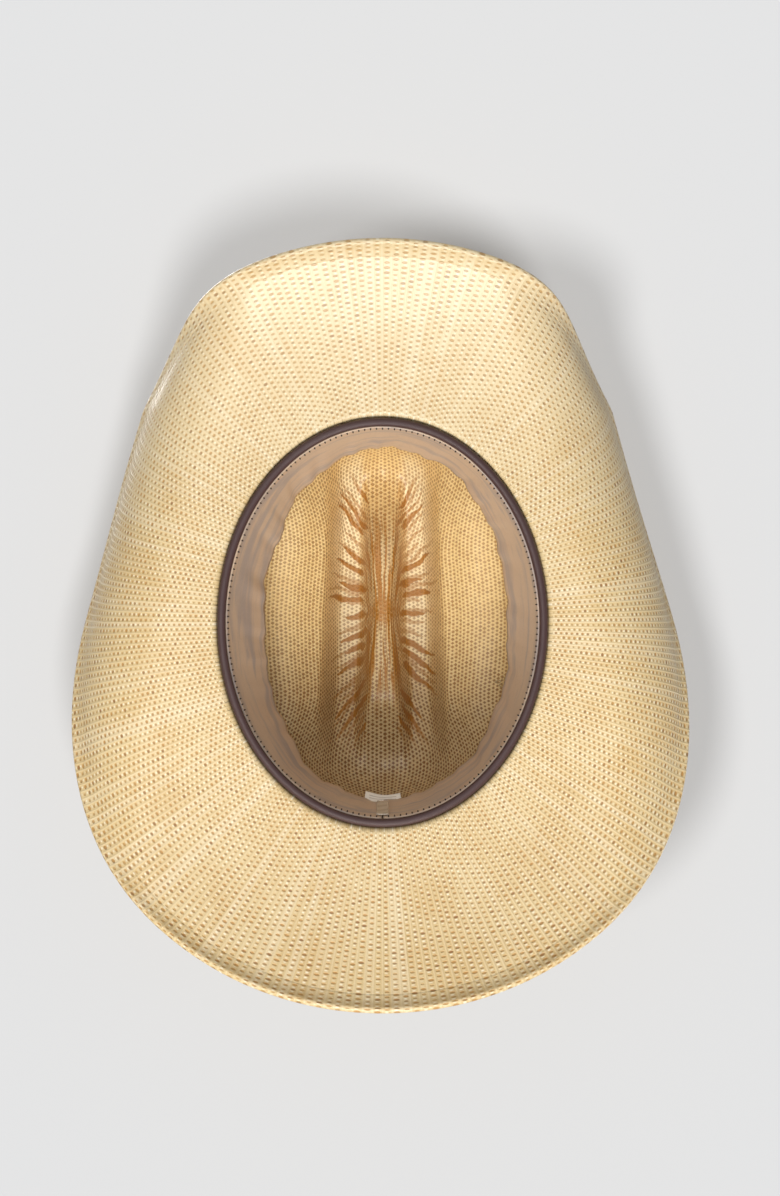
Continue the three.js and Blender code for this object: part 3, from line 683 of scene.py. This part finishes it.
def metal_material(name, base, tarnish, rough):
    """Worn metal with patches of tarnish."""
    n = Nodes(name)
    place = n.place()
    marks = n.noise(place, 260.0, 4.0, 0.65)
    dull = n.noise(place, 1400.0, 2.0, 0.6)
    color = n.mix(n.smooth(marks, 0.45, 0.75), base, tarnish)
    roughness = n.math("MULTIPLY_ADD", marks, 0.3, rough)
    return n.finish(color, roughness, n.bump(dull, 0.0001, 0.25), Metallic=1.0)


def plastic_material(name, base, rough):
    """Clouded moulded plastic."""
    n = Nodes(name)
    soft = n.noise(n.place(), 120.0, 3.0)
    color = n.mix(n.times(soft, 0.35), base, shade(base, 0.75))
    roughness = n.math("MULTIPLY_ADD", soft, 0.15, rough)
    return n.finish(color, roughness, n.bump(soft, 0.0003, 0.3), Coat_Weight=0.6)


def label_material():
    """Off-white tape with two plain woven lines."""
    n = Nodes("label_tape")
    x, _, z = n.split(n.place())
    scale = TAU / THREAD_PITCH
    threads = n.times(n.math("SINE", n.times(x, scale)), n.math("SINE", n.times(z, scale)))
    apart = n.size(n.minus(n.size(n.minus(z, LABEL_LINES[0])), LABEL_LINES[1]))
    line = n.smooth(apart, 0.0002, 0.0004, 1.0, 0.0)
    line = n.times(line, n.smooth(n.size(x), LABEL_LINE_END, LABEL_LINE_END + THREAD_PITCH, 1.0, 0.0))
    soft = n.noise(n.place(), 300.0, 3.0)
    color = n.mix(n.times(soft, 0.3), srgb(250, 246, 236), srgb(226, 220, 204))
    color = n.mix(n.times(line, 0.45), color, srgb(128, 116, 104))
    height = n.math("MULTIPLY_ADD", threads, 0.4, n.times(soft, 0.5))
    return n.finish(color, 0.75, n.bump(height, 0.0002, 0.5))


BRIM_PIT = (0.27, 0.2)  # half width and half height of a pit, as parts of a weave cell
INNER_PIT = (0.42, 0.42)
OUTER_PIT = (0.4, 0.38)
SWEAT_TAN, SWEAT_GREY = srgb(208, 182, 156), srgb(162, 152, 150)
STRAP_BROWN, STRAP_DARK = srgb(84, 50, 30), srgb(58, 34, 22)
SILVER, TARNISH = srgb(206, 202, 194), srgb(120, 112, 100)
STEEL, STEEL_DULL = srgb(180, 180, 182), srgb(130, 128, 126)

LOOKS = {
    "brim": straw_material("straw_brim", BRIM_PIT, "brim"),
    "crown_in": straw_material("straw_crown_inside", INNER_PIT, "crown_in"),
    "crown_out": straw_material("straw_crown_outside", OUTER_PIT, "crown_out"),
    "sweatband": leather_material("sweatband_leather", SWEAT_TAN, SWEAT_GREY, 700.0, 0.32, 0.8),
    "strap": leather_material("band_leather", STRAP_BROWN, STRAP_DARK, 900.0, 0.38, 0.5),
    "piping": cloth_material("piping_cloth", srgb(70, 47, 46), 0.0009, 0.45),
    "thread": cloth_material("sewing_thread", srgb(52, 36, 36), 0.0004, 0.7),
    "light_thread": cloth_material("light_thread", srgb(214, 190, 150), 0.0004, 0.7),
    "label": label_material(),
    "clear": plastic_material("clear_tab", srgb(212, 198, 178), 0.08),
    "reed": plastic_material("reed_plastic", srgb(220, 216, 204), 0.3),
    "silver": metal_material("antique_silver", SILVER, TARNISH, 0.2),
    "steel": metal_material("spring_wire", STEEL, STEEL_DULL, 0.3),
}


# ---------------------------------------------------------------- straw
BRIM_COLUMNS = 288
BRIM_ROW = 2.75  # length of one weave row, from the head oval outwards
CROWN_CELL = 2.3
WALL_SHARE = 0.75  # how much of a steep wall's height counts in the crown's weave


def arc_share(angles):
    """How far round the head oval each angle lies, from 0 to 1."""
    fine = np.linspace(0, TAU, 2881)
    run = np.linalg.norm(np.diff(oval(fine), axis=0), axis=1)
    total = np.concatenate([[0], np.cumsum(run)])
    return np.interp(angles, fine, total / total[-1])


# The turned edge's leaf, from its outer face to its inner one: how far in from the fold it lies,
# and how far below the brim's underside.
HEM_LEAF = [(0.8, 2.45), (1.7, 1.85), (2.8, 1.2), (4, 0.7), (5.4, 0.35), (7, 0.12), (8.6, -0.03),
            (8.8, -0.3), (1.6, -0.3)]


def hem_rings(angles, fold):
    """The straw turns round the edge wire and lies back against the underside of the brim."""

    def arc(radius, degrees):
        turn = math.radians(degrees)
        out = fold + radius * math.cos(turn)
        return on_brim(angles, out, radius * math.sin(turn) - HEM_BORE), out

    rings = []
    for degrees in range(90, -91, -18):
        place, out = arc(HEM, degrees)
        rings.append((place, (fold + math.pi / 2 * (out - fold)) / BRIM_ROW, "brim"))
    for back, drop in HEM_LEAF:
        rings.append((on_brim(angles, fold - back, -drop), (fold - back) / BRIM_ROW, "brim"))
    for degrees in (-90, -45, 0, 45, 90):
        place, out = arc(HEM_BORE, degrees)
        rings.append((place, out / BRIM_ROW, "brim"))
    return rings


def straw_rings():
    """Rings of the shell in order, from the middle of the crown outside to the middle inside.

    Each ring is (points for every angle, weave numbers for every angle, zone). The turn between
    brim and crown has no weave numbers of its own.
    """
    angles = np.arange(FINE) / FINE * TAU
    spans = [(1.0, 40, 36), (42, 74, 15), (76, 85.7, 9)]  # half widths of the crown's rings
    halves = np.concatenate([np.linspace(*span) for span in spans])
    climbs = np.arccos((halves / OPENING[0]) ** (1 / CROWN_TAPER))
    inner_crown = [crown(angles, c) for c in climbs]
    outer_crown = [on_crown(angles, c, STRAW) for c in climbs]
    lattice = crown_lattice(inner_crown)
    share = arc_share(angles) * BRIM_COLUMNS
    fold = brim_width(angles) - HEM
    outer, inner = [], []
    for k in range(len(climbs)):
        outer.append((outer_crown[k], lattice[k], "crown_out"))
        inner.append((inner_crown[k], lattice[k], "crown_in"))
    for turn in np.radians([80, 60, 40, 20]):
        outer.append((lifted(brim_break, angles, turn, STRAW), None, "brim"))
        inner.append((brim_break(angles, turn), None, "brim"))
    for run in np.linspace(0, 1, 37)[:-1]:
        out = BREAK_RADIUS + (fold - BREAK_RADIUS) * run
        outer.append((on_brim(angles, out, STRAW), out / BRIM_ROW, "brim"))
        inner.append((brim(angles, out), out / BRIM_ROW, "brim"))
    return share, outer + hem_rings(angles, fold) + inner[::-1]


def crown_lattice(rings):
    """Runs of the weave across and along the crown, laid out flat from its middle line."""
    flat = [rings[0][:, :2]]
    for inner, outer in zip(rings, rings[1:]):
        move = outer - inner
        plan = np.linalg.norm(move[:, :2], axis=1)
        full = np.linalg.norm(move, axis=1)
        scale = (plan + WALL_SHARE * (full - plan)) / np.maximum(plan, 1e-6)
        flat.append(flat[-1] + move[:, :2] * scale[:, None])
    return [layer / CROWN_CELL for layer in flat]


def middle_faces(count):
    """Bands across the middle line, which close the shell outside and inside."""
    faces = []
    for end in (0, count - 1):
        for i in range(FINE // 2):
            quad = [i, i + 1, (FINE - 1 - i) % FINE, (FINE - i) % FINE]
            corner = list(dict.fromkeys(quad))
            if end == 0:
                corner.reverse()
            faces.append(tuple(place * count + end for place in corner))
    return faces


def straw_body():
    """The straw shell, with its weave's column and row written on every corner of every face."""
    share, rings = straw_rings()
    grid = np.stack([r[0] for r in rings], axis=1)
    count = grid.shape[1]
    zones = [r[2] for r in rings]
    order = ["brim", "crown_in", "crown_out"]
    faces = grid_faces(FINE, FINE, count, False) + middle_faces(count)
    obj = new_object("hat_straw", grid.reshape(-1, 3), faces, [LOOKS[z] for z in order])
    values = np.zeros((sum(len(f) for f in faces), 3))
    index = np.zeros(len(faces), dtype=int)
    at = 0
    for number, face in enumerate(faces):
        place = [f // count for f in face]
        depth = [f % count for f in face]
        crown_face = all(zones[k] != "brim" for k in depth)
        index[number] = order.index(zones[depth[0]] if crown_face else "brim")
        for i, k in zip(place, depth):
            if crown_face:
                values[at, :2] = rings[k][1][i]
            else:
                last = i == 0 and max(place) > 1
                row = rings[k][1][i] if zones[k] == "brim" and rings[k][1] is not None else 0.5
                values[at, :2] = (BRIM_COLUMNS if last else share[i], row)
            at += 1
    weave = obj.data.attributes.new("weave", "FLOAT_VECTOR", "CORNER")
    weave.data.foreach_set("vector", values.ravel())
    obj.data.polygons.foreach_set("material_index", index)
    face_out(obj)
    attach(obj, "body")
    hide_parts("straw_body")


# ---------------------------------------------------------------- inside the opening
def sweatband():
    rows = np.linspace(0, 1, 25)

    def wrinkle(angle, row):
        soft = 0.9 * np.sin(23 * angle + 3 * row) * np.sin(9 * angle + 1.3)
        fine = 0.22 * np.sin(61 * angle + 5 * row + 2 * np.sin(7 * angle))
        return (soft + fine) * row**1.5

    def section(angles):
        angle, row = angles[:, None], rows[None, :]
        height = BAND_FOOT + (band_top(angle) - BAND_FOOT) * row
        inset = band_inset(angle, height) + wrinkle(angle, row)
        inner = inside(angle, inset, height)
        middle = inside(angle[:, 0], inset[:, -1] - LEATHER / 2, height[:, -1] + 0.35)
        outer = inside(angle, inset - LEATHER, height)
        return np.concatenate([inner, middle[:, None], outer[:, ::-1]], axis=1)

    start, end = math.pi + SEAM_GAP / 2, 3 * math.pi - SEAM_GAP / 2
    band = strip("sweatband_leather", section, start, end, FINE, [LOOKS["sweatband"]])
    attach(band, "body")
    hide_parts("sweatband")


def piping():
    """The cover wraps the reed and stays open at the top, where the leather stands."""
    outer, inner = np.linspace(110, 430, 21), np.linspace(425, 115, 13)
    turns = np.radians(np.concatenate([outer, inner]))
    radii = np.repeat([PIPING_RADIUS, PIPING_RADIUS - PIPING_WALL], [len(outer), len(inner)])

    def section(angles):
        angle = angles[:, None]
        return inside(angle, PIPING_INSET + radii * np.cos(turns), PIPING_HEIGHT + radii * np.sin(turns))

    tube = ring("reed_cover", section, [LOOKS["piping"]])
    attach(tube, "body")
    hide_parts("reed_piping")


def even_angles(pitch, ring_points):
    """Angles spaced `pitch` apart along a closed ring given as a function of the angle."""
    fine = np.linspace(0, TAU, 1441)
    run = np.linalg.norm(np.diff(ring_points(fine), axis=0), axis=1)
    total = np.concatenate([[0], np.cumsum(run)])
    count = int(round(total[-1] / pitch))
    return np.interp(np.arange(count) / count * total[-1], total, fine)


def sweatband_stitches():
    def line(angle, proud=0.25, up=0.0):
        inset = band_inset(angle, STITCH_HEIGHT) + proud
        return inside(angle, inset, STITCH_HEIGHT + up)

    angles = even_angles(STITCH_PITCH, line)
    centres = line(angles)
    axes = line(angles, 0.9, 1.2) - centres
    sides = np.cross(axes, oval_normal(angles))
    stitches = beads("sweatband_stitches", centres, axes, sides, (1.1, 0.4, 0.3), [LOOKS["thread"]])
    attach(stitches, "body")
    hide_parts("sweatband_thread")


def rear_plate(name, node, look, half_width, low, high, gap, thickness, wave):
    """A thin plate that follows the leather at the rear, and leans in above the label's fold."""
    rows = np.linspace(low, high, 19)
    spread = half_width / OPENING[0]

    def section(angles):
        angle, height = angles[:, None], rows[None, :]
        lean = LABEL_LEAN * np.maximum(0, height - LABEL_FOLD)
        inset = band_inset(angle, height) + gap + wave * np.sin(height * 0.5 + angle * 30) + lean
        near = inside(angle, inset, height)
        far = inside(angle, inset + thickness, height)
        return np.concatenate([near, far[:, ::-1]], axis=1)

    plate = strip(name, section, math.pi - spread, math.pi + spread, 16, [LOOKS[look]])
    bevel = plate.modifiers.new("edge", "BEVEL")
    bevel.width = 0.15 * MM
    bevel.segments = 2
    bevel.limit_method = "ANGLE"
    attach(plate, "body")
    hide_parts(node)


# ---------------------------------------------------------------- outer band
# The outer band's face: parts of its height, and how far the face is pressed in at each. Its
# edges are rounded, and the two rows of stitches lie in shallow grooves.
BAND_SHARES = [0.0, 0.015, 0.05, 0.12, 0.3, 0.5, 0.7, 0.88, 0.95, 0.985, 1.0]
BAND_PRESSED = [0.5, 0.15, 0.0, 0.12, 0.0, 0.0, 0.0, 0.12, 0.0, 0.15, 0.5]


def band_climb(share):
    return HATBAND_LOW + (HATBAND_HIGH - HATBAND_LOW) * share


def hatband():
    climbs = band_climb(np.array(BAND_SHARES))
    pressed = np.array(BAND_PRESSED)

    def section(angles):
        angle = angles[:, None]
        near = on_crown(angle, climbs[None, :], STRAW + CLEARANCE)
        far = on_crown(angle, climbs[None, :], HATBAND_FACE - pressed[None, :])
        return np.concatenate([near, far[:, ::-1]], axis=1)

    band = ring("hatband_strap", section, [LOOKS["strap"]])
    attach(band, "body")
    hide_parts("hatband")
    for name, share in (("hatband_stitches_low", 0.12), ("hatband_stitches_high", 0.88)):
        climb = band_climb(share)
        angles = even_angles(HATBAND_STITCH_PITCH, lambda a, c=climb: on_crown(a, c, HATBAND_FACE))
        centres = on_crown(angles, climb, HATBAND_FACE - 0.05)
        axes = on_crown(angles + 0.01, climb, HATBAND_FACE) - centres
        sides = on_crown(angles, climb + 0.01, HATBAND_FACE) - centres
        row = beads(name, centres, axes, sides, (1.45, 0.3, 0.24), [LOOKS["light_thread"]])
        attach(row, "body")


SAME_POINT = 2e-6  # metres
FLAT_ANGLE = math.radians(2)  # faces that meet at less are one face
SHARP_ANGLE = math.radians(32)  # edges that turn more are rounded
SHADED_SHARP_ANGLE = math.radians(40)


def softened(node, name, body, look, width):
    """A copy of a hard CAD piece with its sharp edges rounded to `width` millimetres."""
    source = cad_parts[node]
    obj = bpy.data.objects.new(name, source.data.copy())
    bpy.context.scene.collection.objects.link(obj)
    bm = bmesh.new()
    bm.from_mesh(obj.data)
    bmesh.ops.remove_doubles(bm, verts=bm.verts, dist=SAME_POINT)
    bmesh.ops.dissolve_limit(bm, angle_limit=FLAT_ANGLE, verts=bm.verts, edges=bm.edges)
    inner = [e for e in bm.edges if len(e.link_faces) == 2]
    sharp = [e for e in inner if e.calc_face_angle() > SHARP_ANGLE]
    bmesh.ops.bevel(bm, geom=sharp, offset=width * MM, segments=3, profile=0.5, affect="EDGES",
                    clamp_overlap=True)
    bm.to_mesh(obj.data)
    bm.free()
    obj.data.materials.clear()
    obj.data.materials.append(LOOKS[look])
    obj.data.polygons.foreach_set("use_smooth", [True] * len(obj.data.polygons))
    obj.data.set_sharp_from_angle(angle=SHADED_SHARP_ANGLE)
    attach(obj, body)
    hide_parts(node)


def buckle_set():
    softened("buckle_chape", "chape_leather", "body", "strap", 0.3)
    softened("hatband_billet", "billet_leather", "body", "strap", 0.3)
    softened("billet_tip", "tip_metal", "body", "silver", 0.4)
    softened("buckle_frame", "frame_metal", "frame", "silver", 0.45)
    softened("buckle_prong", "prong_metal", "prong", "silver", 0.25)
    softened("billet_keeper", "keeper_metal", "keeper", "silver", 0.2)
    for node in ("chape_rivet_upper", "chape_rivet_lower", "billet_rivet"):
        softened(node, node + "_metal", "body", "silver", 0.2)


# ---------------------------------------------------------------- stage
def stage_plane(name, height, half, facing, grey, glow, fade):
    """A one-sided sheet: it shows only on the side that `facing` gives, and blocks no light.

    A sheet that fades is clear where it is seen at a slant.
    """
    mesh = bpy.data.meshes.new(name)
    corners = [(-half, -half, height), (half, -half, height), (half, half, height), (-half, half, height)]
    mesh.from_pydata(corners, [], [(0, 1, 2, 3) if facing > 0 else (3, 2, 1, 0)])
    plane = bpy.data.objects.new(name, mesh)
    bpy.context.scene.collection.objects.link(plane)
    n = Nodes(name)
    clear = n.add("ShaderNodeBsdfTransparent")
    pick = n.add("ShaderNodeMixShader")
    back = n.add("ShaderNodeNewGeometry").outputs["Backfacing"]
    if fade:
        slant = n.add("ShaderNodeLayerWeight").outputs["Facing"]
        back = n.math("MAXIMUM", back, n.smooth(slant, 0.2, 0.4))
    color = srgb(grey, grey, grey)
    n.finish(color, 0.9, Specular_IOR_Level=0.0, Emission_Color=WHITE, Emission_Strength=glow)
    n.put(pick.inputs[0], back)
    n.put(pick.inputs[1], n.shader.outputs[0])
    n.put(pick.inputs[2], clear.outputs[0])
    n.put(n.tree.nodes["Material Output"].inputs["Surface"], pick.outputs[0])
    mesh.materials.append(n.material)
    for ray in ("diffuse", "glossy", "transmission", "shadow"):
        setattr(plane, "visible_" + ray, False)
    return plane


def link_light(light, sheets, include):
    """Lets a light reach only these sheets, or everything but them."""
    group = bpy.data.collections.new(light.name + "_receivers")
    for sheet in sheets:
        group.objects.link(sheet)
    light.light_linking.receiver_collection = group
    for entry in group.collection_objects:
        entry.light_linking.link_state = "INCLUDE" if include else "EXCLUDE"


def aimed(name, data, place, aim):
    """A light that looks from its place at another one."""
    obj = bpy.data.objects.new(name, data)
    obj.location = place
    obj.rotation_euler = (Vector(aim) - Vector(place)).to_track_quat("-Z", "Y").to_euler()
    bpy.context.scene.collection.objects.link(obj)
    return obj


def area_light(name, place, size, power, color=(1, 1, 1), aim=(0, 0, 0)):
    light = bpy.data.lights.new(name, "AREA")
    light.shape = "DISK"
    light.size = size
    light.energy = power
    light.color = color
    return aimed(name, light, place, aim)


def sun_light(name, towards, angle, strength):
    light = bpy.data.lights.new(name, "SUN")
    light.angle = math.radians(angle)
    light.energy = strength
    return aimed(name, light, towards, (0, 0, 0))


FLOOR_GAP = 0.0003  # the floor lies this far under the hat
TABLE_GAP = 0.0005  # and the table on which the crown lies, seen from below, this far past it
UNDERSIDE = (0, 0, 0.03)  # what the lights below look at
SUN_ANGLE = 13.0
SKY = srgb(235, 237, 240)
WARM_LIGHT = (1.0, 0.97, 0.93)
SOFT_LIGHT = (1.0, 0.98, 0.95)


def stage_and_light():
    """A floor below the hat, a table behind its crown, and soft light from above and below.

    The table has two suns of its own, so that the hat's shadow on it is soft and the rest even.
    """
    low, high = CAD_BOX[0][2], CAD_BOX[1][2]
    stage_plane("floor", low - FLOOR_GAP, half=60.0, facing=1, grey=206, glow=0.25, fade=False)
    table = stage_plane("table", high + TABLE_GAP, half=0.5, facing=-1, grey=182, glow=0.11, fade=True)
    world = bpy.data.worlds.new("studio")
    world.use_nodes = True
    world.node_tree.nodes["Background"].inputs[0].default_value = SKY
    world.node_tree.nodes["Background"].inputs[1].default_value = 0.45
    bpy.context.scene.world = world
    link_light(sun_light("table_sun_side", (-0.36, 0.18, -1.0), SUN_ANGLE, 1.75), [table], True)
    link_light(sun_light("table_sun_front", (0.15, 0.32, -1.0), SUN_ANGLE, 1.8), [table], True)
    below = [
        area_light("key_below", (-0.05, 1.2, -1.35), 0.8, 29, WARM_LIGHT, UNDERSIDE),
        area_light("fill_below", (-0.3, -0.3, -1.6), 1.4, 9, aim=UNDERSIDE),
    ]
    for light in below:
        light.data.specular_factor = 0.4
        link_light(light, [table], False)
    area_light("key_above", (-1.2, -1.3, 1.9), 1.3, 36, SOFT_LIGHT)
    area_light("fill_above", (1.5, 0.9, 1.4), 1.8, 14)


CAMERA_AT = (0.00387, -0.01265, -1.3)
FRAME_HEIGHT = 0.6177  # what the picture spans, level with the head opening


def camera():
    """Looks straight up into the hat, with its front at the top of the picture."""
    data = bpy.data.cameras.new("camera")
    data.sensor_width = 36
    data.lens = data.sensor_width * -CAMERA_AT[2] / FRAME_HEIGHT
    obj = bpy.data.objects.new("camera", data)
    turn = Matrix(((1, 0, 0), (0, -1, 0), (0, 0, -1))).to_4x4()
    obj.matrix_world = Matrix.Translation(CAMERA_AT) @ turn
    bpy.context.scene.collection.objects.link(obj)
    bpy.context.scene.camera = obj


# ---------------------------------------------------------------- build
straw_body()
sweatband()
piping()
sweatband_stitches()
rear_plate("seam_tab_strip", "seam_tab", "clear",
           half_width=3.5, low=8, high=46, gap=LOOSE, thickness=SEAM_TAB, wave=0.1)
rear_plate("label_tape", "size_label", "label",
           half_width=11.5, low=30, high=60, gap=-LEATHER - LOOSE - LABEL, thickness=LABEL, wave=0.15)
hatband()
buckle_set()
for node, look in (("brim_edge_wire", "steel"), ("sweatband_reed", "reed")):
    for material_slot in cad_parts[node].material_slots:
        material_slot.material = LOOKS[look]
stage_and_light()
camera()
bpy.context.scene.view_settings.view_transform = "Standard"
